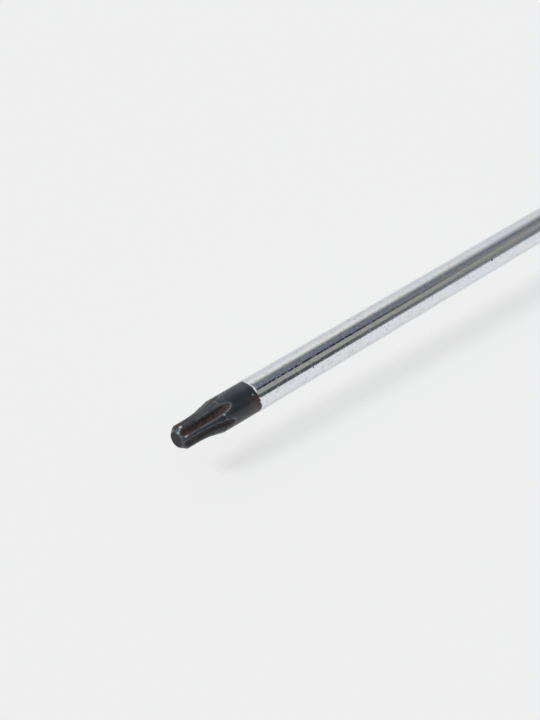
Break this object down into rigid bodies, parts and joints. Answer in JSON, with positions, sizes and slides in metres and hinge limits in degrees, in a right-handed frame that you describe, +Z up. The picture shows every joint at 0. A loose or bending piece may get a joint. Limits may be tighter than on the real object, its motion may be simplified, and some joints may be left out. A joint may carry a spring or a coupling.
{
  "type": "torx screwdriver",
  "caption": "Fixed-blade six-lobe screwdriver: black-tipped chrome shank in a moulded handle with hexagonal flange, soft grip and hanging hole.",
  "frame": {"origin": "centre of the bottom of the bounding box, with the tool lying on its handle", "axes": "+X along the tool from the tip to the butt, +Z up; the blade's axis lies in the XZ plane and dips towards the tip by the angle at which the handle lies"},
  "size_m": [0.2372, 0.0332, 0.0322],
  "materials": {
    "chromed_steel": "bright chrome plating, tip burnished black for the first 16 mm",
    "core_plastic": "plain moulded",
    "shell_plastic": "fine spark-eroded satin",
    "grip_rubber": "soft matt overmould"
  },
  "bodies": {
    "root": {"blade": "chromed_steel", "inner_core": "core_plastic", "handle_shell": "shell_plastic", "soft_grip": "grip_rubber", "end_cap": "shell_plastic"}
  },
  "joints": []
}
